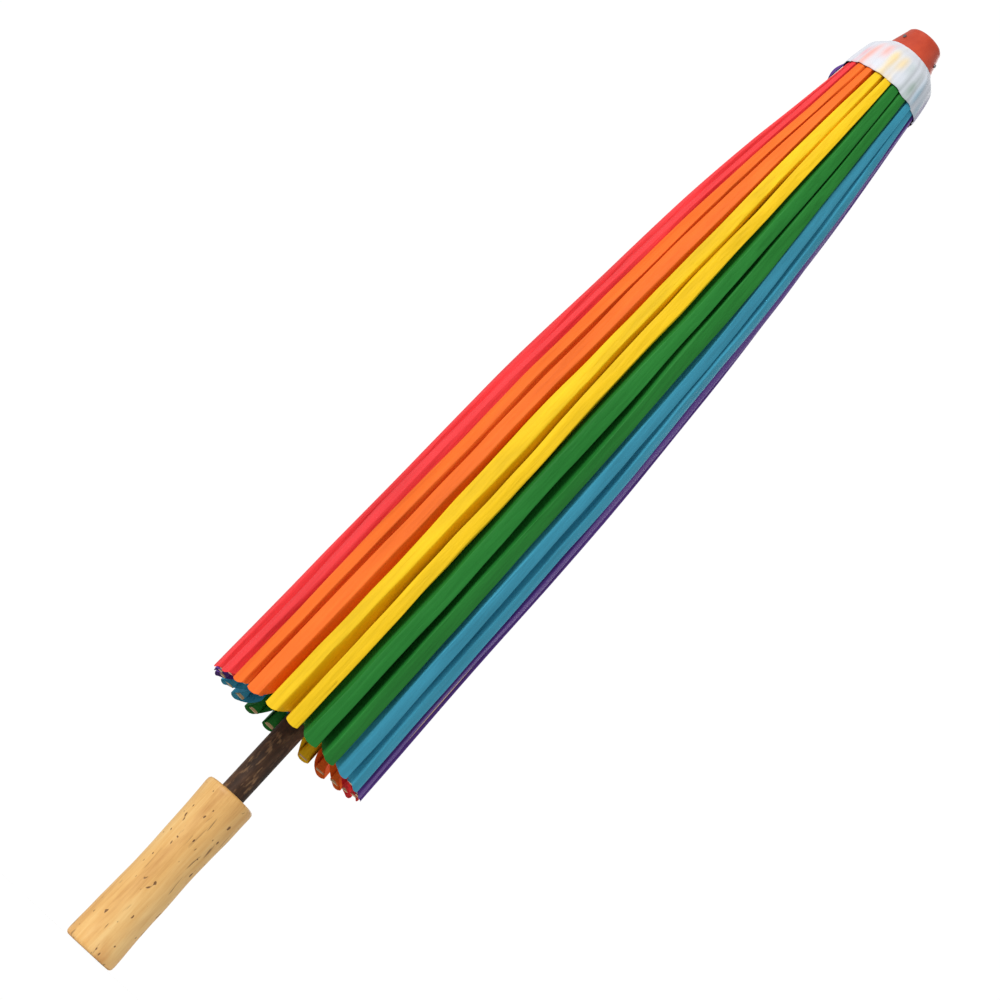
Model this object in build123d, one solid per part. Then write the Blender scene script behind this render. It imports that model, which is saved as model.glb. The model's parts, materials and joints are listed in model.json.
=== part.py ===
from build123d import *
import math
import os

# A closed oil paper parasol: 24 split bamboo ribs hinged round a slotted wooden hub, 24 struts
# down to a runner on the shaft, a pleated skin over the ribs, a white collar, a red cap and a
# turned wooden handle. The shaft is the Z axis, the handle's end is at z = 0 and the cap is up.

# Whole parasol
TOTAL_LENGTH = 560.0
RIB_COUNT = 24
RIB_STEP = 360.0 / RIB_COUNT
FIRST_RIB_ANGLE = -92.5

# Linkage: every rib turns about the hub ring, every strut joins its rib half way down and ends on
# the runner ring. Both arms are equally long, so the runner stays on the shaft at every angle.
PIVOT_RADIUS = 14.0
HUB_PIVOT_Z = 538.0
ARM_LENGTH = 185.0
CLOSED_ANGLE = 4.744
OPENING_ANGLE = 64.0
ELBOW_R = PIVOT_RADIUS + ARM_LENGTH * math.sin(math.radians(CLOSED_ANGLE))
ELBOW_Z = HUB_PIVOT_Z - ARM_LENGTH * math.cos(math.radians(CLOSED_ANGLE))
RUNNER_PIVOT_Z = HUB_PIVOT_Z - 2 * ARM_LENGTH * math.cos(math.radians(CLOSED_ANGLE))
RUNNER_TRAVEL = (
    RUNNER_PIVOT_Z * -1
    + HUB_PIVOT_Z
    - 2 * ARM_LENGTH * math.cos(math.radians(CLOSED_ANGLE + OPENING_ANGLE))
)

# Ribs, as (z, outer radius) down the bent outer face
RIB_OUTER = [
    (528.0, 18.6), (516.0, 20.3), (496.0, 22.8), (448.0, 28.3), (400.0, 32.4), (353.0, 35.4),
    (307.0, 37.9), (261.0, 39.2), (216.0, 40.2), (171.0, 41.1), (126.0, 42.2),
]
RIB_DEPTH = 4.0
RIB_TIP_DEPTH = 3.0
RIB_HALF_WIDTHS = [
    (541.0, 1.0), (528.0, 1.0), (516.0, 1.4), (500.0, 1.7), (480.0, 1.9), (450.0, 2.1),
    (120.0, 2.1),
]
RIB_ROOT_RADIUS = 2.0
ROOT_HOLE_RADIUS = 0.6
BOSS_RADIUS = 2.4
BOSS_WIDTH = 4.2
BOSS_SLOT = 2.4
PIN_RADIUS = 0.58
PIN_HOLE_RADIUS = 0.6

# Struts
STRUT_DEPTH = 3.0
STRUT_WIDTH = 3.0
TONGUE_WIDTH = 2.0
TONGUE_LENGTH = 7.0
STRUT_HOLE_RADIUS = 0.75

# Shaft and handle
SHAFT_RADIUS = 6.0
SHAFT_BOTTOM_Z = 20.0
SHAFT_TOP_Z = 552.0
BORE_RADIUS = 6.05
HANDLE_PROFILE = [(0.0, 13.0), (20.0, 12.3), (50.0, 11.7), (75.0, 12.1), (90.0, 12.7)]
HANDLE_EDGE = 1.2

# Hub head and red cap
HEAD_RADIUS = 16.5
HEAD_BOTTOM_Z = 531.0
HEAD_SHOULDER_Z = 539.0
HEAD_TOP_Z = 546.0
HUB_SLOT = 2.4
SLOT_INNER_R = 11.4
SLOT_CEILING_Z = 540.6
CAP_RADIUS = 12.9
CAP_TOP_RADIUS = 9.7
CAP_TAPER_TOP_Z = 557.0
LACING_RADIUS = 0.45
LACING_CHANNEL = 0.55
NAIL_ANGLES = [-142.0, -24.0, 95.0]
NAIL_Z = 552.0
NAIL_SHANK = 0.5
NAIL_HEAD = 0.85

# Runner
RUNNER_BORE = 6.3
SLEEVE_RADIUS = 10.0
RUNNER_BOTTOM_Z = 135.0
FLANGE_BOTTOM_Z = 163.0
FLANGE_TOP_Z = 172.0
RUNNER_SLOT = 2.4

# Catch and stop
CATCH_WIDTH = 1.6
CATCH_PRESS = 2.2
CATCH_SHOULDER_Z = 369.2
STOP_PIN_Z = 408.2
STOP_PIN_RADIUS = 0.8
STOP_PIN_LENGTH = 15.0

# Skin and collar
SKIN_GAP = 0.3
SKIN_THICKNESS = 0.6
SKIN_BOTTOM_Z = 124.0
SKIN_TOP_Z = 525.0


def side_solid(points, half_width):
    """A closed outline of (radius, z) points, thickened evenly about the radial plane."""
    face = make_face(Polyline(*[(r, 0, z) for r, z in points], close=True))
    return extrude(face, amount=half_width, dir=(0, 1, 0), both=True)


def plan_solid(points):
    """A band of (z, half width) points seen from outside, long enough to cross any rib."""
    right = [(0, w, z) for z, w in points]
    left = [(0, -w, z) for z, w in reversed(points)]
    face = make_face(Polyline(*right, *left, close=True))
    return extrude(face, amount=60, dir=(1, 0, 0))


def cross_pin(r, z, radius, length):
    """A round bar along the tangent, centred on one point of the radial plane."""
    return Pos(r, 0, z) * Rot(90, 0, 0) * Cylinder(radius, length)


def turned(points):
    """A full turn about the shaft of a closed outline of (radius, z) points."""
    face = make_face(Polyline(*[(r, 0, z) for r, z in points], close=True))
    return revolve(face, axis=Axis.Z)


def save(name, *solids):
    """One named node, as one or more separate solids."""
    shape = solids[0] if len(solids) == 1 else Compound(children=list(solids))
    shape.label = name
    export_step(shape, "parts/" + name + ".step")


def outer_at(z):
    """The radius of a rib's outer face at one height."""
    rows = sorted(RIB_OUTER)
    for (z0, r0), (z1, r1) in zip(rows, rows[1:]):
        if z0 <= z <= z1:
            return r0 + (r1 - r0) * (z - z0) / (z1 - z0)
    return rows[0][1] if z < rows[0][0] else rows[-1][1]


os.makedirs("parts", exist_ok=True)

# One rib: the bent bar with a rounded root, thinner towards the tip
outer = [(r, z) for z, r in RIB_OUTER]
inner = []
for z, r in reversed(RIB_OUTER):
    share = min(1.0, max(0.0, (z - 126.0) / 120.0))
    inner.append((r - RIB_TIP_DEPTH - (RIB_DEPTH - RIB_TIP_DEPTH) * share, z))
tip_outer = (outer[-1][0] - 0.9, outer[-1][1] - 0.0)
outer[-1] = (outer[-1][0], outer[-1][1] + 1.4)
root = [(PIVOT_RADIUS - 1.8, HUB_PIVOT_Z - 0.6), (PIVOT_RADIUS + 1.95, HUB_PIVOT_Z - 0.5)]
bar = side_solid(outer + [tip_outer] + inner + root, 2.5)
bar += cross_pin(PIVOT_RADIUS, HUB_PIVOT_Z, RIB_ROOT_RADIUS, 5.0)
bar = bar & plan_solid(RIB_HALF_WIDTHS)
# The elbow boss: two cheeks that hang inside the bar, with the strut's slot between them
inner_face = outer_at(ELBOW_Z) - RIB_DEPTH
boss = cross_pin(ELBOW_R, ELBOW_Z, BOSS_RADIUS, BOSS_WIDTH)
boss += Pos((ELBOW_R + inner_face + 1) / 2, 0, ELBOW_Z) * Box(
    inner_face + 1 - ELBOW_R, BOSS_WIDTH, 2 * BOSS_RADIUS
)
slot_inner = ELBOW_R - BOSS_RADIUS - 1
slot_outer = inner_face - 0.1
boss -= Pos((slot_inner + slot_outer) / 2, 0, ELBOW_Z) * Box(
    slot_outer - slot_inner, BOSS_SLOT, 4 * BOSS_RADIUS
)
rib = bar + boss
rib -= cross_pin(PIVOT_RADIUS, HUB_PIVOT_Z, ROOT_HOLE_RADIUS, 6)
rib -= cross_pin(ELBOW_R, ELBOW_Z, PIN_HOLE_RADIUS, 6)
elbow_pin = cross_pin(ELBOW_R, ELBOW_Z, PIN_RADIUS, BOSS_WIDTH - 0.1)

# One strut: rounded ends, a full middle and a thin tongue at each end
half = STRUT_DEPTH / 2
strut = Pos(0, 0, ARM_LENGTH / 2) * Box(STRUT_DEPTH, STRUT_WIDTH, ARM_LENGTH)
for z in (0, ARM_LENGTH):
    strut += cross_pin(0, z, half, STRUT_WIDTH)
narrow, wide = TONGUE_WIDTH / 2, STRUT_WIDTH / 2
band = [
    (-3.0, narrow), (TONGUE_LENGTH, narrow), (TONGUE_LENGTH + 2, wide),
    (ARM_LENGTH - TONGUE_LENGTH - 2, wide), (ARM_LENGTH - TONGUE_LENGTH, narrow),
    (ARM_LENGTH + 3, narrow),
]
strut = strut & (Pos(-30, 0, 0) * plan_solid(band))
for z in (0, ARM_LENGTH):
    strut -= cross_pin(0, z, STRUT_HOLE_RADIUS, 6)
strut = Pos(PIVOT_RADIUS, 0, RUNNER_PIVOT_Z) * Rot(0, CLOSED_ANGLE, 0) * strut

for index in range(RIB_COUNT):
    turn = Rot(0, 0, FIRST_RIB_ANGLE + index * RIB_STEP)
    number = str(index + 1).zfill(2)
    save("rib_" + number, turn * rib, turn * elbow_pin)
    save("strut_" + number, turn * strut)

# Handle: a waisted turned grip with a blind bore for the shaft
bottom_r, top_r = HANDLE_PROFILE[0][1], HANDLE_PROFILE[-1][1]
top_z = HANDLE_PROFILE[-1][0]
waist = Spline(*[(r, 0, z) for z, r in HANDLE_PROFILE])
outline = waist + Polyline((top_r, 0, top_z), (0, 0, top_z), (0, 0, 0), (bottom_r, 0, 0))
handle = revolve(make_face(outline), axis=Axis.Z)
rims = handle.edges().filter_by(GeomType.CIRCLE)
handle = fillet(rims, HANDLE_EDGE)
handle -= Pos(0, 0, (SHAFT_BOTTOM_Z + 100) / 2) * Cylinder(BORE_RADIUS, 100 - SHAFT_BOTTOM_Z)
save("handle", handle)

# Shaft, with a pocket for the catch and a cross hole for the stop pin
shaft = Pos(0, 0, (SHAFT_BOTTOM_Z + SHAFT_TOP_Z) / 2) * Cylinder(
    SHAFT_RADIUS, SHAFT_TOP_Z - SHAFT_BOTTOM_Z
)
shaft -= Pos(5.0, 0, CATCH_SHOULDER_Z - 14.0) * Box(5.0, CATCH_WIDTH + 0.4, 29.4)
shaft -= Pos(0, 0, STOP_PIN_Z) * Rot(90, 0, 0) * Cylinder(STOP_PIN_RADIUS, 20)
save("shaft", shaft)
save("stop_pin", Pos(0, 0, STOP_PIN_Z) * Rot(90, 0, 0) * Cylinder(0.78, STOP_PIN_LENGTH))
shoulder = CATCH_SHOULDER_Z
catch = side_solid(
    [
        (4.9, shoulder - 27.2), (5.8, shoulder - 27.2), (SHAFT_RADIUS + CATCH_PRESS, shoulder - 3),
        (SHAFT_RADIUS + CATCH_PRESS, shoulder), (4.9, shoulder),
    ],
    CATCH_WIDTH / 2,
)
save("catch", catch)

# Hub: slotted head below, rounded red cap above, one solid turned from wood
cap = [(0, TOTAL_LENGTH), (7.2, TOTAL_LENGTH)]
cap += [(8.6, 559.5), (9.4, 558.5), (CAP_TOP_RADIUS, CAP_TAPER_TOP_Z)]
cap += [(CAP_RADIUS, HEAD_TOP_Z), (13.3, HEAD_TOP_Z - 0.6), (HEAD_RADIUS, HEAD_SHOULDER_Z)]
cap += [(HEAD_RADIUS, HEAD_BOTTOM_Z), (0, HEAD_BOTTOM_Z)]
hub = turned(cap)
hub -= Pos(0, 0, (SHAFT_TOP_Z + 520) / 2) * Cylinder(BORE_RADIUS, SHAFT_TOP_Z - 520)
slot_low = HEAD_BOTTOM_Z - 2
hub_slot = Pos((SLOT_INNER_R + 25) / 2, 0, (slot_low + SLOT_CEILING_Z) / 2) * Box(
    25 - SLOT_INNER_R, HUB_SLOT, SLOT_CEILING_Z - slot_low
)
runner_slot_floor = RUNNER_PIVOT_Z - 2.4
runner_slot = Pos((SLOT_INNER_R + 25) / 2, 0, (runner_slot_floor + 180) / 2) * Box(
    25 - SLOT_INNER_R, RUNNER_SLOT, 180 - runner_slot_floor
)
hub -= [Rot(0, 0, FIRST_RIB_ANGLE + k * RIB_STEP) * hub_slot for k in range(RIB_COUNT)]
hub -= Pos(0, 0, HUB_PIVOT_Z) * Torus(PIVOT_RADIUS, LACING_CHANNEL)
nails = []
taper = (CAP_RADIUS - CAP_TOP_RADIUS) / (CAP_TAPER_TOP_Z - HEAD_TOP_Z)
nail_r = CAP_RADIUS - taper * (NAIL_Z - HEAD_TOP_Z)
for angle in NAIL_ANGLES:
    shank = Pos(nail_r - 2.0, 0, NAIL_Z) * Rot(0, 90, 0) * Cylinder(NAIL_SHANK, 4.5)
    head = Pos(nail_r + 0.15, 0, NAIL_Z) * Rot(0, 90, 0) * Cylinder(NAIL_HEAD, 0.9)
    nails.append(Rot(0, 0, angle) * (shank + head))
hub -= nails
save("hub", hub)
save("hub_pins", *nails)
save("hub_lacing", Pos(0, 0, HUB_PIVOT_Z) * Torus(PIVOT_RADIUS, LACING_RADIUS))

# Runner: a sleeve round the shaft with a slotted flange that takes the struts
body = [(RUNNER_BORE, RUNNER_BOTTOM_Z), (SLEEVE_RADIUS - 1, RUNNER_BOTTOM_Z)]
body += [(SLEEVE_RADIUS, RUNNER_BOTTOM_Z + 1), (SLEEVE_RADIUS, FLANGE_BOTTOM_Z - 5)]
body += [(13.0, FLANGE_BOTTOM_Z - 1), (17.0, FLANGE_BOTTOM_Z), (18.0, FLANGE_BOTTOM_Z + 1)]
body += [(18.0, FLANGE_TOP_Z - 1), (17.0, FLANGE_TOP_Z), (RUNNER_BORE, FLANGE_TOP_Z)]
runner = turned(body)
runner -= [Rot(0, 0, FIRST_RIB_ANGLE + k * RIB_STEP) * runner_slot for k in range(RIB_COUNT)]
runner -= Pos(0, 0, RUNNER_PIVOT_Z) * Torus(PIVOT_RADIUS, LACING_CHANNEL)
save("runner", runner)
save("runner_lacing", Pos(0, 0, RUNNER_PIVOT_Z) * Torus(PIVOT_RADIUS, LACING_RADIUS))

# Skin: a plain thin shell that follows the ribs' outer faces, open at the bottom
heights = [SKIN_TOP_Z] + [z for z, r in RIB_OUTER if z < SKIN_TOP_Z] + [SKIN_BOTTOM_Z]
skin_in = []
for z in heights:
    r = outer_at(z)
    if z < 126.0:
        r = 42.2
    skin_in.append((r + SKIN_GAP, z))
skin_out = [(r + SKIN_THICKNESS, z) for r, z in reversed(skin_in)]
save("canopy", turned(skin_in + skin_out))

# Collar: the white cloth tied over the hub's head and the top of the skin
collar = [(13.2, 545.9), (14.4, 544.9), (17.6, 540.0), (19.9, 525.4)]
collar += [(20.8, 525.4), (18.5, 540.4), (15.0, 545.9), (13.2, 546.8)]
save("collar", turned(collar))

print("elbow", ELBOW_R, ELBOW_Z, "runner pivot", RUNNER_PIVOT_Z, "travel", RUNNER_TRAVEL)
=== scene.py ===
import numpy as np

import json
import math

import bmesh
import bpy
from mathutils import Matrix, Vector, noise


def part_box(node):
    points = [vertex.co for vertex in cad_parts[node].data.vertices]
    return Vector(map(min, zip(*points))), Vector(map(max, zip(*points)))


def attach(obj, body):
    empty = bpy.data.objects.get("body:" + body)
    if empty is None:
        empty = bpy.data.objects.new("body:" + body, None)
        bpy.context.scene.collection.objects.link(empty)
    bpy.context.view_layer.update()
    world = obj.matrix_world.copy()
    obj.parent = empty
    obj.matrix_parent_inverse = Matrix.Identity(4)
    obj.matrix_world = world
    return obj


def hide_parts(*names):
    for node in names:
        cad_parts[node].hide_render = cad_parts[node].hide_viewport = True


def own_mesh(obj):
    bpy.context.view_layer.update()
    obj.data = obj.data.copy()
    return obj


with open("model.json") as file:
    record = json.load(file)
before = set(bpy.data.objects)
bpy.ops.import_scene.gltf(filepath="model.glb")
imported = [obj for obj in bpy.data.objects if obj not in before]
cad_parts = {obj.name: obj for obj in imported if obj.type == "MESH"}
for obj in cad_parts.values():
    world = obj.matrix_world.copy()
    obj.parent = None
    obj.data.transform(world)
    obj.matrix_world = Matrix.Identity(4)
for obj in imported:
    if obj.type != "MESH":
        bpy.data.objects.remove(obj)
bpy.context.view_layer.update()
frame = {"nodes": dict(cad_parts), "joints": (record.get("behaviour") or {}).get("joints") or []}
nodes = frame["nodes"]

# The camera: a long lens level with the grip's end, looking up along the closed parasol, and
# rolled so that the shaft runs from the lower left to the upper right of the picture.
lens = bpy.data.cameras.new("camera")
lens.sensor_width = 36.0
lens.lens = 108.0
lens.clip_start, lens.clip_end = 0.05, 50.0
camera = bpy.data.objects.new("camera", lens)
bpy.context.scene.collection.objects.link(camera)
bpy.context.scene.camera = camera
eye = Vector((0.0, -1.3, 0.0))
aim = Vector((-0.0012, 0.0, 0.2651))
lean = math.radians(42.7)
ahead = (aim - eye).normalized()
level_right = ahead.cross(Vector((0, 0, 1))).normalized()
level_up = level_right.cross(ahead)
right = level_right * math.cos(lean) + level_up * math.sin(lean)
up = level_up * math.cos(lean) - level_right * math.sin(lean)
camera.matrix_world = Matrix.Translation(eye) @ Matrix((right, up, -ahead)).transposed().to_4x4()


# The studio: a white surround, one large soft key from the left, a weak fill from the right and
# a pale round floor just under the grip that fades out into the white.
class Knit:
    """A socket of one node tree, on which the usual operators add Math nodes."""

    def __init__(self, tree, socket):
        self.tree, self.socket = tree, socket

    def node(self, kind, settings=None, **sockets):
        made = self.tree.nodes.new(kind)
        for name, value in (settings or {}).items():
            if name == "stops":
                ramp = made.color_ramp
                while len(ramp.elements) < len(value):
                    ramp.elements.new(0.5)
                for element, (place, colour) in zip(ramp.elements, value):
                    element.position = place
                    element.color = (*colour, 1.0)
            else:
                setattr(made, name, value)
        for name, value in sockets.items():
            name = name.replace("_", " ")
            socket = made.inputs[int(name)] if name.isdigit() else made.inputs[name]
            self.feed(socket, value)
        return made

    def feed(self, socket, value):
        if isinstance(value, Knit):
            self.tree.links.new(value.socket, socket)
        elif socket.type == "RGBA" and len(value) == 3:
            socket.default_value = (*value, 1.0)
        else:
            socket.default_value = value

    def out(self, kind, output, settings=None, **sockets):
        return Knit(self.tree, self.node(kind, settings, **sockets).outputs[output])

    def maths(self, operation, first, second=0.0):
        made = self.tree.nodes.new("ShaderNodeMath")
        made.operation = operation
        self.feed(made.inputs[0], first)
        self.feed(made.inputs[1], second)
        return Knit(self.tree, made.outputs[0])

    def __add__(self, other):
        return self.maths("ADD", self, other)

    def __radd__(self, other):
        return self.maths("ADD", other, self)

    def __sub__(self, other):
        return self.maths("SUBTRACT", self, other)

    def __rsub__(self, other):
        return self.maths("SUBTRACT", other, self)

    def __mul__(self, other):
        return self.maths("MULTIPLY", self, other)

    def __rmul__(self, other):
        return self.maths("MULTIPLY", other, self)

    def clamp(self):
        return self.out("ShaderNodeClamp", 0, Value=self)

    def speckle(self, scale, detail=3.0, rough=0.55, stretch=(1, 1, 1), warp=0.0):
        """Noise from 0 to 1 on object coordinates, in cells per metre, drawn out along an axis."""
        place = self.out("ShaderNodeTexCoord", "Object")
        place = self.out("ShaderNodeMapping", 0, Vector=place, Scale=stretch)
        return self.out(
            "ShaderNodeTexNoise", 0, Vector=place, Scale=scale, Detail=detail, Roughness=rough,
            Distortion=warp,
        )

    def ramp(self, stops):
        return self.out("ShaderNodeValToRGB", 0, {"stops": stops}, Fac=self)

    def mix(self, low, high):
        """The colour low where this is 0 and high where it is 1."""
        made = self.tree.nodes.new("ShaderNodeMix")
        made.data_type = "RGBA"
        self.feed(made.inputs[0], self)
        self.feed(made.inputs[6], low)
        self.feed(made.inputs[7], high)
        return Knit(self.tree, made.outputs[2])

    def bump(self, height, strength, distance):
        return self.out(
            "ShaderNodeBump", 0, Height=height, Strength=strength, Distance=distance
        )


def finish_named(name):
    """A new material with one Principled shader, and a Knit that adds nodes to it."""
    material = bpy.data.materials.new(name)
    material.use_nodes = True
    tree = material.node_tree
    shader = tree.nodes["Principled BSDF"]
    return material, Knit(tree, None), shader


def dress(knit, shader, **sockets):
    for name, value in sockets.items():
        knit.feed(shader.inputs[name.replace("_", " ")], value)


world = bpy.data.worlds.new("white surround")
bpy.context.scene.world = world
bpy.context.scene.view_settings.view_transform = "Standard"
world.use_nodes = True
sky = Knit(world.node_tree, None)
surround = world.node_tree.nodes["Background"]
seen = sky.out("ShaderNodeLightPath", "Is Camera Ray")
surround.inputs["Color"].default_value = (1, 1, 1, 1)
sky.feed(surround.inputs["Strength"], 0.56 + seen * 0.46)

for lamp_name, spot, size, watts in (
    ("key", (-1.3, -1.5, 1.1), 0.8, 33.0),
    ("fill", (1.7, -1.0, 0.2), 1.4, 3.5),
    ("back", (0.6, 1.8, 1.2), 1.4, 12.0),
):
    lamp = bpy.data.lights.new(lamp_name, "AREA")
    lamp.energy, lamp.size = watts, size
    holder = bpy.data.objects.new(lamp_name, lamp)
    bpy.context.scene.collection.objects.link(holder)
    holder.location = spot
    towards = Vector((0, 0, 0.28)) - Vector(spot)
    holder.rotation_euler = towards.to_track_quat("-Z", "Y").to_euler()

shape = bmesh.new()
bmesh.ops.create_circle(shape, cap_ends=True, segments=96, radius=0.22)
bmesh.ops.translate(shape, verts=shape.verts, vec=(0, 0, -0.0004))
floor_mesh = bpy.data.meshes.new("floor")
shape.to_mesh(floor_mesh)
shape.free()
floor = bpy.data.objects.new("floor", floor_mesh)
bpy.context.scene.collection.objects.link(floor)
floor_white, knit, shader = finish_named("floor white")
place = knit.out("ShaderNodeTexCoord", "Object")
distance = knit.out("ShaderNodeVectorMath", "Value", {"operation": "LENGTH"}, Vector=place)
dress(knit, shader, Base_Color=(0.94, 0.94, 0.94), Roughness=0.9,
      Alpha=(1.0 - distance * 4.8).clamp())
floor_mesh.materials.append(floor_white)


# The ribs and struts: split bamboo, pale on the cut sides and a little darker along the grain,
# with a planed satin surface. Their shapes are the CAD ones.
def bamboo(name, pale, dark, grain):
    material, knit, shader = finish_named(name)
    fibre = knit.speckle(grain, 4.0, 0.6, (1, 1, 0.06))
    patch = knit.speckle(18.0, 2.0, 0.5)
    tone = (fibre * 0.7 + patch * 0.5 - 0.1).clamp()
    dress(knit, shader, Base_Color=tone.mix(dark, pale), Roughness=0.55 - fibre * 0.12,
          Normal=knit.bump(fibre, 0.25, 0.0004))
    return material


def paint(node, material):
    part = nodes[node]
    part.data.materials.clear()
    part.data.materials.append(material)


rib_finish = bamboo("rib bamboo", (0.74, 0.52, 0.28), (0.48, 0.29, 0.12), 420.0)
strut_finish = bamboo("strut bamboo", (0.76, 0.56, 0.32), (0.52, 0.33, 0.15), 420.0)
rib_count = sum(1 for name in nodes if name.startswith("rib_"))
for number in range(1, rib_count + 1):
    paint(f"rib_{number:02d}", rib_finish)
    paint(f"strut_{number:02d}", strut_finish)

# The shaft: a dark stained bamboo cane, mottled brown with small lighter flecks along the grain
# and a dull wax finish.
shaft_finish, knit, shader = finish_named("dark mottled cane")
streak = knit.speckle(260.0, 5.0, 0.65, (1, 1, 0.16), 0.6)
cloud = knit.speckle(70.0, 3.0, 0.6)
fleck = knit.speckle(650.0, 2.0, 0.5, (1, 1, 0.3))
tone = (streak * 0.75 + cloud * 0.55 - 0.2).clamp()
brown = tone.ramp([
    (0.25, (0.020, 0.009, 0.004)), (0.45, (0.058, 0.026, 0.012)),
    (0.60, (0.125, 0.060, 0.028)), (0.80, (0.27, 0.15, 0.075)),
])
pale_fleck = ((fleck - 0.56) * 8.0).clamp()
dress(knit, shader, Base_Color=(pale_fleck * 0.6).mix(brown, (0.30, 0.165, 0.075)),
      Roughness=0.62 - streak * 0.15, Normal=knit.bump(streak + fleck * 0.4, 0.5, 0.0006))
shader.inputs["Specular IOR Level"].default_value = 0.25
paint("shaft", shaft_finish)

# The runner and its struts' thread: a turned pale wood sleeve with a slotted flange, waxed thread
# round the hub ring and the runner ring, and a steel stop pin and catch leaf on the shaft.
runner_finish = bamboo("turned runner wood", (0.66, 0.45, 0.24), (0.45, 0.27, 0.12), 300.0)
paint("runner", runner_finish)
thread_finish, knit, shader = finish_named("waxed thread")
dress(knit, shader, Base_Color=(0.62, 0.56, 0.42), Roughness=0.7)
for ring in ("hub_lacing", "runner_lacing"):
    paint(ring, thread_finish)
steel_finish, knit, shader = finish_named("dull nail steel")
wear = knit.speckle(900.0, 3.0, 0.6)
dress(knit, shader, Base_Color=wear.mix((0.10, 0.10, 0.11), (0.26, 0.26, 0.27)), Metallic=0.9,
      Roughness=0.35 + wear * 0.25)
for part in ("hub_pins", "stop_pin"):
    paint(part, steel_finish)
paint("catch", steel_finish)

# The hub and cap: one piece of turned wood, slotted below for the ribs and lacquered brick red
# above, with a satin coat that is slightly worn and uneven.
cap_finish, knit, shader = finish_named("brick red lacquer")
uneven = knit.speckle(110.0, 4.0, 0.6, (1, 1, 0.5))
dimple = knit.speckle(600.0, 2.0, 0.5)
brick = uneven.ramp([(0.3, (0.43, 0.040, 0.014)), (0.7, (0.58, 0.068, 0.024))])
dress(knit, shader, Base_Color=brick,
      Roughness=0.34 + uneven * 0.12, Normal=knit.bump(uneven * 0.7 + dimple * 0.2, 0.25, 0.0006))
shader.inputs["Specular IOR Level"].default_value = 0.3
shader.inputs["Coat Weight"].default_value = 0.10
shader.inputs["Coat Roughness"].default_value = 0.3
paint("hub", cap_finish)


# The grip: light wood turned by hand, waisted and not quite straight, with rounded end rims, a
# bore for the shaft in its top, long dark streaks and a few small knots under a satin varnish.
def settle(name, shape, material, smooth=True):
    """The finished mesh of one piece, at the origin, with its material."""
    bmesh.ops.recalc_face_normals(shape, faces=shape.faces)
    mesh = bpy.data.meshes.new(name)
    shape.to_mesh(mesh)
    shape.free()
    mesh.polygons.foreach_set("use_smooth", [smooth] * len(mesh.polygons))
    mesh.materials.append(material)
    piece = bpy.data.objects.new(name, mesh)
    bpy.context.scene.collection.objects.link(piece)
    return piece


def curve(table, at):
    """A smooth value between the rows of a (place, value) table in rising order."""
    if at <= table[0][0]:
        return table[0][1]
    if at >= table[-1][0]:
        return table[-1][1]
    k = max(i for i in range(len(table) - 1) if table[i][0] <= at)
    (x0, y0), (x1, y1) = table[k], table[k + 1]
    before = table[k - 1] if k else table[k]
    after = table[k + 2] if k + 2 < len(table) else table[k + 1]
    slope0 = (y1 - before[1]) / (x1 - before[0])
    slope1 = (after[1] - y0) / (after[0] - x0)
    t = (at - x0) / (x1 - x0)
    span = x1 - x0
    return (
        (2 * t**3 - 3 * t**2 + 1) * y0 + (t**3 - 2 * t**2 + t) * span * slope0
        + (3 * t**2 - 2 * t**3) * y1 + (t**3 - t**2) * span * slope1
    )


def wander(seed, at, pace):
    """A smooth random walk from about -1 to 1 along one line."""
    return noise.noise(Vector((seed * 7.31, at * pace, 4.7 + seed))) * 1.6


handle_low, handle_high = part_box("handle")
grip_length = handle_high.z - handle_low.z
waist = [(0.0, 13.0), (8.0, 12.8), (20.0, 12.35), (50.0, 11.7), (75.0, 12.15), (90.0, 12.75)]
outline = [(6.15, 24.0), (6.15, 90.0), (11.1, 90.0), (11.9, 89.7), (12.45, 89.0)]
outline += [(curve(waist, z), z) for z in range(87, 2, -3)]
outline += [(12.8, 1.3), (12.3, 0.5), (11.5, 0.1), (8.0, 0.0), (4.0, 0.0), (0.0, 0.0)]
shape = bmesh.new()
corners = [shape.verts.new((r / 1000, 0, z / 1000)) for r, z in outline]
edges = [shape.edges.new(pair) for pair in zip(corners, corners[1:])]
bmesh.ops.spin(shape, geom=corners + edges, cent=(0, 0, 0), axis=(0, 0, 1), dvec=(0, 0, 0),
               angle=math.tau, steps=72, use_merge=True, use_duplicate=False)
bmesh.ops.remove_doubles(shape, verts=shape.verts, dist=1e-6)
for corner in shape.verts:
    radius = math.hypot(corner.co.x, corner.co.y)
    if radius > 0.0065:
        swell = noise.noise(corner.co * 38) * 0.00045 + noise.noise(corner.co * 120) * 0.00012
        corner.co.x *= 1 + swell / radius
        corner.co.y *= 1 + swell / radius
        bend = 0.00035 * math.sin(math.pi * corner.co.z / grip_length)
        corner.co.x += bend
grip_finish, knit, shader = finish_named("honey wood")
streak = knit.speckle(150.0, 5.0, 0.62, (1, 1, 0.10), 0.5)
fine = knit.speckle(900.0, 4.0, 0.65, (1, 1, 0.05))
cloud = knit.speckle(30.0, 2.0, 0.5, (1, 1, 0.5))
knot = knit.speckle(430.0, 1.0, 0.4, (1, 1, 0.55), 0.2)
dark_line = knit.speckle(330.0, 2.0, 0.5, (1, 1, 0.14), 0.8)
blush = knit.speckle(42.0, 3.0, 0.5, (1, 1, 0.35), 0.6)
honey = (streak * 0.55 + fine * 0.30 + cloud * 0.45 - 0.15).clamp().ramp([
    (0.26, (0.50, 0.225, 0.055)), (0.46, (0.74, 0.425, 0.140)), (0.66, (0.86, 0.58, 0.24)),
])
warm = (((blush - 0.52) * 5.0).clamp() * 0.55).mix(honey, (0.52, 0.20, 0.05))
knots = ((knot - 0.70) * 26.0).clamp()
lines = ((dark_line - 0.655) * 18.0).clamp() * 0.75
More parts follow.
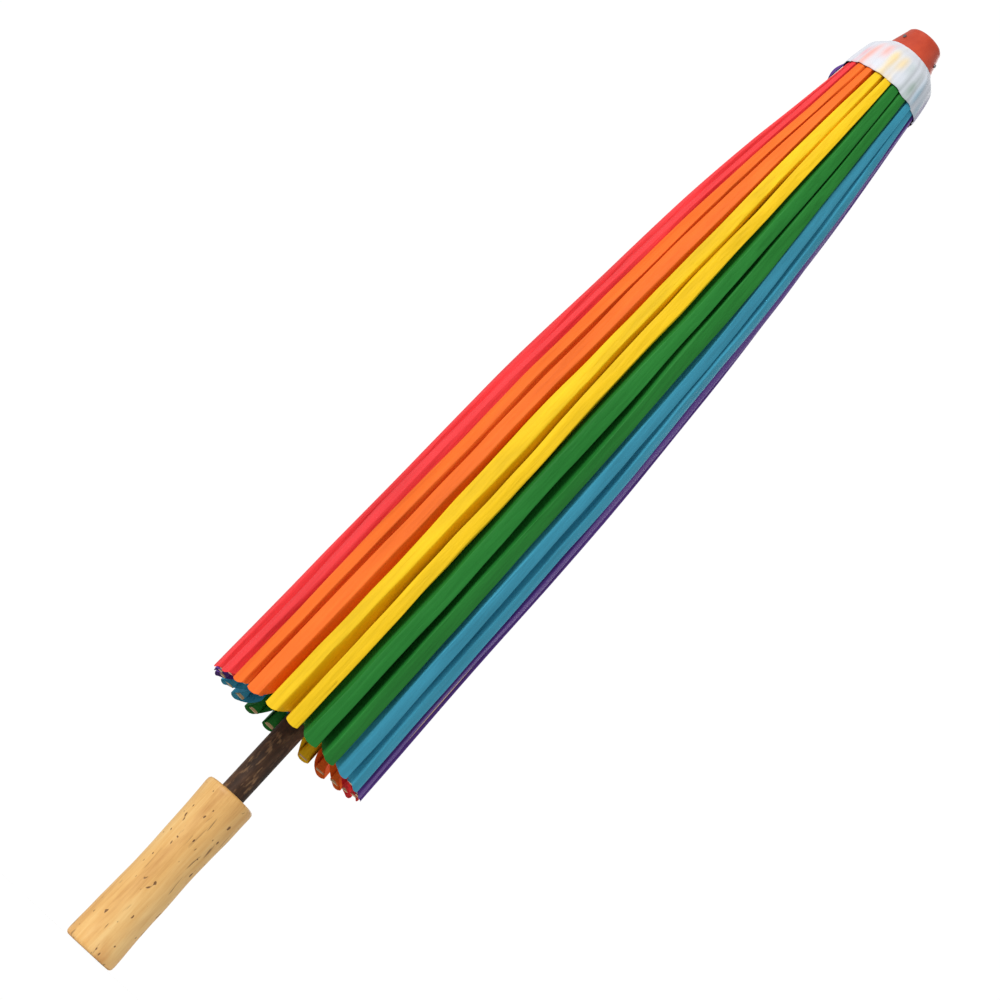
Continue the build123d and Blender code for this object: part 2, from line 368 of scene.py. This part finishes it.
dark = (knots * 0.9 + lines).clamp()
dress(knit, shader, Base_Color=dark.mix(warm, (0.13, 0.055, 0.020)),
      Roughness=0.42 + streak * 0.14,
      Normal=knit.bump(streak * 0.6 + fine * 0.4 - dark * 0.6, 0.4, 0.0008))
shader.inputs["Specular IOR Level"].default_value = 0.3
shader.inputs["Coat Weight"].default_value = 0.08
shader.inputs["Coat Roughness"].default_value = 0.35
grip = settle("grip", shape, grip_finish)
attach(grip, "handle")
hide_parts("handle")

# The pleated skin: thin dyed cloth in six colours, glued along the outer face of every rib and
# creased into a deep pleat between each two. Each rib carries its own strip, in an upper and a
# lower length because the ribs are bent.
dyes = {
    "red": (1.0, 0.045, 0.052), "orange": (1.0, 0.165, 0.012), "yellow": (0.96, 0.60, 0.001),
    "green": (0.012, 0.205, 0.022), "teal": (0.048, 0.37, 0.54), "purple": (0.115, 0.040, 0.29),
}
order = ["yellow", "green", "green", "teal", "teal", "purple", "purple", "red", "red", "orange",
         "orange", "yellow", "yellow", "green", "green", "teal", "teal", "purple", "purple",
         "red", "red", "orange", "orange", "yellow"]
ridge_radius = [(124, 43.1), (171, 41.9), (216, 41.1), (261, 40.1), (307, 38.8), (353, 36.2),
                (400, 33.3), (448, 29.2), (496, 23.7), (516, 21.35), (527, 20.1)]
rib_outer = [(126, 42.2), (171, 41.1), (216, 40.2), (261, 39.2), (307, 37.9), (353, 35.4),
             (400, 32.4), (448, 28.3), (496, 22.8), (516, 20.3), (528, 18.6)]
ridge_half = [(124, 3.35), (353, 3.3), (400, 3.15), (448, 2.8), (496, 2.35), (516, 2.05),
              (527, 1.8)]
pleat_depth = [(124, 9.8), (300, 8.6), (353, 7.6), (400, 7.2), (500, 5.0), (527, 4.0)]
skin_bottom, skin_break, skin_top = 124.0, 372.0, 527.0
first_pivot = next(j for j in frame["joints"] if j["name"] == "canopy_fold")["pos_m"]
first_angle = math.atan2(first_pivot[1], first_pivot[0])
step = math.tau / rib_count

cloth = {}
for name, dye in dyes.items():
    material, knit, shader = finish_named(name + " cloth")
    weave = knit.speckle(2600.0, 2.0, 0.5, (1, 1, 0.25))
    crease = knit.speckle(150.0, 4.0, 0.6, (1, 1, 0.10), 0.4)
    bleach = knit.speckle(55.0, 3.0, 0.55, (1, 1, 0.35))
    fibre = knit.speckle(520.0, 4.0, 0.65, (1, 1, 0.05), 0.3)
    deep = tuple(c * 0.70 for c in dye)
    light = tuple(min(1.0, c * 1.04 + 0.008) for c in dye)
    tone = ((crease * 0.40 + bleach * 0.25 + fibre * 0.35 - 0.34) * 3.2).clamp()
    dress(knit, shader, Base_Color=tone.mix(deep, light), Roughness=0.54 + crease * 0.14,
          Normal=knit.bump(crease + fibre * 0.5 + weave * 0.12, 0.75, 0.0010))
    shader.inputs["Specular IOR Level"].default_value = 0.20
    cloth[name] = material


# By rib, the mm that its ridge stands further out, and by valley, the degrees that it leans.
stand_out = {4: 0.7, 5: -0.1, 17: -0.3, 18: -0.45, 19: 1.1, 20: 0.4, 23: -0.3, 2: 0.4}
valley_lean = {20: 2.4, 22: -0.8, 23: 1.6, 0: -2.6, 1: 1.2, 2: -0.6, 3: 1.4, 4: 2.6}


def ridge_place(rib, share, height):
    """A point of one rib's strip: share -1 and 1 are its two valleys, 0 its ridge's middle."""
    side = 1 if share > 0 else -1
    valley = (rib + (0 if side > 0 else -1)) % rib_count
    radius = curve(ridge_radius, height) + 0.42 * wander(rib + 0.5, height, 0.014)
    radius += stand_out.get(rib, 0.0) * min(1.0, (530 - height) / 60)
    even_half = curve(ridge_half, height)
    half = even_half * (1 + 0.24 * wander(rib + 60 + side * 17, height, 0.012))
    half = max(half, 0.93 * even_half)
    angle = step * 0.5 * side + math.radians(
        valley_lean.get(valley, 0.0) + 1.5 * wander(valley + 200, height, 0.012)
    )
    deep = curve(pleat_depth, height) * (1 + 0.20 * wander(valley + 100, height, 0.015))
    low = curve(ridge_radius, height) - deep
    shift = 0.85 * wander(rib + 30, height, 0.012) + 0.22 * wander(rib + 90, height, 0.045)
    shift *= min(1.0, (530 - height) / 120)
    shift = max(-0.17 * even_half, min(0.17 * even_half, shift))
    tilt = 0.12 * wander(rib + 140, height, 0.008)
    edge = 0.45
    size = abs(share)
    if size <= edge:
        t = side * half * size / edge
        return radius - 0.25 * (size / edge) ** 3 + tilt * t, t + shift
    f = (size - edge) / (1 - edge)
    top_r, top_t = radius - 0.25 + tilt * side * half, side * half + shift
    low_r, low_t = low * math.cos(angle), low * math.sin(angle)
    fold = max(-0.3, 0.9 * wander(rib + 400 + side * 31, height, 0.018))
    return (
        top_r + (low_r - top_r) * f,
        top_t + (low_t - top_t) * (0.2 * f + 0.8 * f**1.7) + side * math.sin(math.pi * f) * fold,
    )


right_columns = [0.0, 0.2, 0.38, 0.43, 0.47, 0.52, 0.62, 0.74, 0.87, 0.96, 1.0]
columns = [-c for c in reversed(right_columns[1:])] + right_columns


def strip(rib, low, high, rows, name):
    shape = bmesh.new()
    bmesh.ops.create_grid(shape, x_segments=len(columns) - 1, y_segments=rows, size=1)
    for corner in shape.verts:
        share = columns[round((corner.co.x + 1) / 2 * (len(columns) - 1))]
        along = (corner.co.y + 1) / 2
        notch = 0.0
        if low == skin_bottom:
            size = abs(share)
            valley = (rib + (0 if share > 0 else -1)) % rib_count
            notch = (7.5 + 1.5 * wander(valley + 0.5, 3, 1)) * size**2.6
            notch += 1.2 * (1 + wander(rib + 300, 9, 1)) * 0.5
        height = low + notch + (high - low - notch) * along
        radial, across = ridge_place(rib, share, height)
        corner.co = Vector((radial, across, height)) / 1000
    angle = first_angle + rib * step
    turned = Matrix.Rotation(angle, 3, "Z")
    bmesh.ops.rotate(shape, verts=shape.verts, cent=(0, 0, 0), matrix=turned)
    return settle(name, shape, cloth[order[rib]])


pivot_radius, pivot_height = 14.0, 538.0


def strip_cut(low, high):
    """The width and area in metres that one rib's strip is cut to, pleats laid out flat."""
    widths = []
    for height in range(math.ceil(low), int(high) + 1):
        deep, half = curve(pleat_depth, height), curve(ridge_half, height)
        gap = (curve(ridge_radius, height) - deep) * math.sin(step / 2) - half
        widths.append(2 * (half + math.hypot(deep, gap)) / 1000)
    return max(widths), sum(widths) / len(widths) * (high - low) / 1000


# The loop: a stray fold of the purple cloth on the left that bulges out of the skin just under
# the collar, where the binding pinches it.
loop_rib = 18
loop_low, loop_high, loop_bulge, loop_half = 515.0, 525.5, 1.5, 2.0
shape = bmesh.new()
bmesh.ops.create_grid(shape, x_segments=10, y_segments=16, size=1)
for corner in shape.verts:
    across, along = corner.co.x, (corner.co.y + 1) / 2
    height = loop_low + (loop_high - loop_low) * along
    bulge = loop_bulge * math.sin(math.pi * along) ** 0.8 * max(0.0, 1 - across**2) ** 0.6
    radial = curve(ridge_radius, height) + 0.35 + bulge
    corner.co = Vector((radial, loop_half * across, height)) / 1000
bmesh.ops.rotate(shape, verts=shape.verts, cent=(0, 0, 0),
                 matrix=Matrix.Rotation(first_angle + loop_rib * step, 3, "Z"))
loop = settle("purple_loop", shape, cloth["purple"])
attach(loop, f"rib_{loop_rib + 1:02d}")

for rib in range(rib_count):
    body = f"rib_{rib + 1:02d}"
    angle = first_angle + rib * step
    outward = Vector((math.cos(angle), math.sin(angle), 0))
    for label, low, high, rows in (
        ("lower", skin_bottom, skin_break, 60), ("upper", skin_break, skin_top, 40),
    ):
        piece = strip(rib, low, high, rows, f"skin_{label}_{rib + 1:02d}")
        start, end = max(low, 126), min(high, 528)
        rise = curve(rib_outer, end) - curve(rib_outer, start)
        normal = (outward * (end - start) - Vector((0, 0, 1)) * rise).normalized()
        proud = max(
            curve(rib_outer, z) * normal.dot(outward) + z * normal.z
            for z in range(int(start), int(end), 8)
        )
        anchor = normal * (proud + 0.3) / 1000
        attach(piece, body)
        width, area = strip_cut(low, high)
        carried = [loop] if (label, rib) == ("upper", loop_rib) else []
        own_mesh(piece)
        for fold in carried:
            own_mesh(fold)
        if rib == 0 and label == "lower":
            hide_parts("canopy")

# The rim's hems: at the foot of every rib the cloth is turned in and glued round the bamboo, so
# that only the cut end of the rib shows.
hem_low, hem_high = 126.2, 152.0
for rib in range(rib_count):
    body = f"rib_{rib + 1:02d}"
    shape = bmesh.new()
    bmesh.ops.create_grid(shape, x_segments=20, y_segments=10, size=1)
    for corner in shape.verts:
        turn, along = math.pi * corner.co.x, (corner.co.y + 1) / 2
        frayed = 0.8 * wander(rib + 500, 4 + math.cos(turn), 0.6)
        ragged = (1 - along) * (frayed - 0.5 * math.cos(turn))
        height = hem_low + ragged + (hem_high - hem_low) * along
        middle = curve(rib_outer, max(height, 126)) - 1.6
        loose = 1 + 0.12 * wander(rib + 520 + 3 * math.sin(turn), height, 0.09)
        across = max(-1.0, min(1.0, 1.35 * math.sin(turn))) * 2.5 * loose
        radial = max(-1.0, min(1.0, 1.35 * math.cos(turn))) * 2.0
        if radial < 0:
            radial *= loose
        corner.co = Vector((middle + radial, across, height)) / 1000
    bmesh.ops.remove_doubles(shape, verts=shape.verts, dist=1e-7)
    bmesh.ops.rotate(shape, verts=shape.verts, cent=(0, 0, 0),
                     matrix=Matrix.Rotation(first_angle + rib * step, 3, "Z"))
    hem = settle(f"hem_{rib + 1:02d}", shape, cloth[order[rib]])
    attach(hem, body)

# The spread cloth: between two ribs each gore is cut flat, half of it dyed with the one rib and
# half with the other. Closed, it lies folded in the hollow beside the shaft.
opening = math.radians(frame["joints"][0]["range_deg"][1])
hem_start, hem_rise, cloth_lift, half_step = 133.0, 6.0, 1.7, step / 2
gore_top, under_collar, shaft_clearance = 518.0, 528.0, 6.8
panel_shares = (("inner", 0.00, 0.50), ("outer", 0.48, 1.00))


def swing(radius, height, turn):
    """A point in a rib's plane, turned outwards about the rib's hinge."""
    out, rise = radius - pivot_radius, height - pivot_height
    return (
        pivot_radius + out * math.cos(turn) - rise * math.sin(turn),
        pivot_height + out * math.sin(turn) + rise * math.cos(turn),
    )


def gore_point(share, along, side):
    """A point in metres of the spread gore: share from rib to middle line, along from the rim."""
    low = hem_start + hem_rise * share**1.5
    height = low + (gore_top - low) * along
    out, rise = swing(curve(rib_outer, height) + cloth_lift, height, opening)
    across = out * math.sin(half_step) * share
    out = (out * math.cos(half_step) - across * math.sin(half_step)) / math.cos(half_step)
    out, rise = swing(out, rise, -opening)
    return Vector((out, side * across, rise)) / 1000


def find_fold(start, end):
    """The fold's climb, swerve, keep and distance in mm that lay a panel inside the closed skin.

    A population of trial folds is bred towards the one that sticks out least."""
    spread = np.array([
        gore_point(share, along, 1) * 1000
        for share in np.linspace(start, end, 7) for along in np.linspace(0, 1, 26)
    ])
    heights = np.arange(skin_bottom, skin_top + 3)
    room = np.array([curve(ridge_radius, h) - curve(pleat_depth, h) - 0.6 for h in heights])

    def overrun(trials):
        climb, swerve, keep, distance = trials.T
        axes = np.stack([np.cos(climb) * np.cos(swerve), np.cos(climb) * np.sin(swerve),
                         np.sin(climb)], 1)
        drawn = (axes @ spread.T - distance[:, None]) * (1 / keep - 1)[:, None]
        folded = spread + drawn[..., None] * axes[:, None]
        radius, height = np.hypot(folded[..., 0], folded[..., 1]), folded[..., 2]
        proud = np.maximum(radius - np.interp(height, heights, room), 0)
        return (
            proud.max(1) + 0.02 * proud.sum(1)
            + 0.5 * np.maximum(hem_start + 3 - height, 0).max(1)
            + 0.5 * np.maximum(height - under_collar, 0).max(1)
            + 0.3 * np.maximum(shaft_clearance - radius, 0).max(1)
        )

    many, rounds = 80, 400
    draw = np.random.default_rng(3)
    least, most = np.array([-0.7, -math.pi, 0.3, -700]), np.array([0.7, math.pi, 0.95, 700])
    trials = least + draw.random((many, 4)) * (most - least)
    cost = overrun(trials)
    for _ in range(rounds):
        one, other = trials[draw.permutation(many)], trials[draw.permutation(many)]
        bred = trials[cost.argmin()] + draw.uniform(0.5, 1.0) * (one - other)
        bred = np.where(draw.random(trials.shape) < 0.7, bred, trials)
        bred = np.where((bred < least) | (bred > most), trials, bred)
        bred_cost = overrun(bred)
        better = bred_cost < cost
        trials[better], cost[better] = bred[better], bred_cost[better]
    return tuple(float(value) for value in trials[cost.argmin()])


panels = [(label, start, end, *find_fold(start, end)) for label, start, end in panel_shares]

for rib in range(rib_count):
    body = f"rib_{rib + 1:02d}"
    turned = Matrix.Rotation(first_angle + rib * step, 3, "Z")
    for side, hand in ((1, "right"), (-1, "left")):
        for label, start, end, climb, swerve, keep, distance in panels:
            fold_axis = Vector((
                math.cos(climb) * math.cos(swerve), side * math.cos(climb) * math.sin(swerve),
                math.sin(climb),
            ))
            shape = bmesh.new()
            bmesh.ops.create_grid(shape, x_segments=5, y_segments=22, size=1)
            for corner in shape.verts:
                share = start + (end - start) * (corner.co.x + 1) / 2
                corner.co = gore_point(share, (corner.co.y + 1) / 2, side)
            area = sum(face.calc_area() for face in shape.faces)
            width = (gore_point(end, 0, side) - gore_point(start, 0, side)).length
            length = (gore_point(start, 1, side) - gore_point(start, 0, side)).length
            for corner in shape.verts:
                depth = corner.co.dot(fold_axis) - distance / 1000
                corner.co += fold_axis * depth * (1 / keep - 1)
            bmesh.ops.rotate(shape, verts=shape.verts, cent=(0, 0, 0), matrix=turned)
            panel = settle(f"gore_{rib + 1:02d}_{hand}_{label}", shape, cloth[order[rib]])
            axis = turned @ fold_axis
            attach(panel, body)
            tuple(axis * distance / 1000)
            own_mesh(panel)

# The collar: a strip of thin white cloth tied round the hub's head and gathered over its
# shoulder. The dyed cloth under it shows through faintly, rib by rib.
collar_rows = [(524.9, 20.9), (525.6, 21.1), (529.0, 20.7), (534.0, 19.9), (538.6, 19.05),
               (540.8, 18.3), (543.0, 16.5), (545.2, 14.4), (546.6, 13.3)]
shape = bmesh.new()
bmesh.ops.create_grid(shape, x_segments=240, y_segments=20, size=1)
for corner in shape.verts:
    turn, along = corner.co.x, (corner.co.y + 1) / 2
    angle = math.pi * turn
    spot = along * (len(collar_rows) - 1)
    k = min(int(spot), len(collar_rows) - 2)
    height = collar_rows[k][0] + (collar_rows[k + 1][0] - collar_rows[k][0]) * (spot - k)
    radius = collar_rows[k][1] + (collar_rows[k + 1][1] - collar_rows[k][1]) * (spot - k)
    ring = Vector((math.cos(angle), math.sin(angle), 0))
    pucker = noise.noise(ring * 5 + Vector((0, 0, height * 0.05))) * 0.55
    pucker += noise.noise(ring * 17 + Vector((0, 0, height * 0.03))) * 0.30
    pucker += 0.14 * math.cos((angle - first_angle) * rib_count)
    radius += pucker * (1 - 0.6 * along)
    height += (1 - along) * noise.noise(ring * 3.1 + Vector((5, 0, 0))) * 1.1
    corner.co = Vector((ring.x * radius, ring.y * radius, height)) / 1000
bmesh.ops.remove_doubles(shape, verts=shape.verts, dist=1e-6)
collar_finish, knit, shader = finish_named("thin white cloth")
shine = knit.speckle(120.0, 3.0, 0.5)
tint = knit.out("ShaderNodeAttribute", "Color", {"attribute_name": "under"})
dress(knit, shader, Base_Color=(0.55 + shine * 0.45).clamp().mix((0.64, 0.67, 0.73), tint),
      Roughness=0.42 + shine * 0.15, Normal=knit.bump(shine, 0.3, 0.0008))
collar = settle("collar_cloth", shape, collar_finish)
under = collar.data.color_attributes.new("under", "FLOAT_COLOR", "POINT")
for corner in collar.data.vertices:
    x, y, z = corner.co
    turn = (math.atan2(y, x) - first_angle) / step
    rib = int(math.floor(turn + 0.5)) % rib_count
    dye = dyes[order[rib]]
    near = 1 - abs(turn - math.floor(turn + 0.5)) * 1.5
    share = 0.60 * max(0.0, near) * max(0.25, 1 - (z * 1000 - 525) / 24)
    share *= 0.8 + 2.6 * noise.noise(corner.co * 105)
    share = min(0.62, max(0.02, share))
    white = (0.66, 0.69, 0.75)
    under.data[corner.index].color = (*[w * (1 - share) + c * share for w, c in zip(white, dye)], 1)
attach(collar, "handle")
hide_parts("collar")
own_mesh(collar)
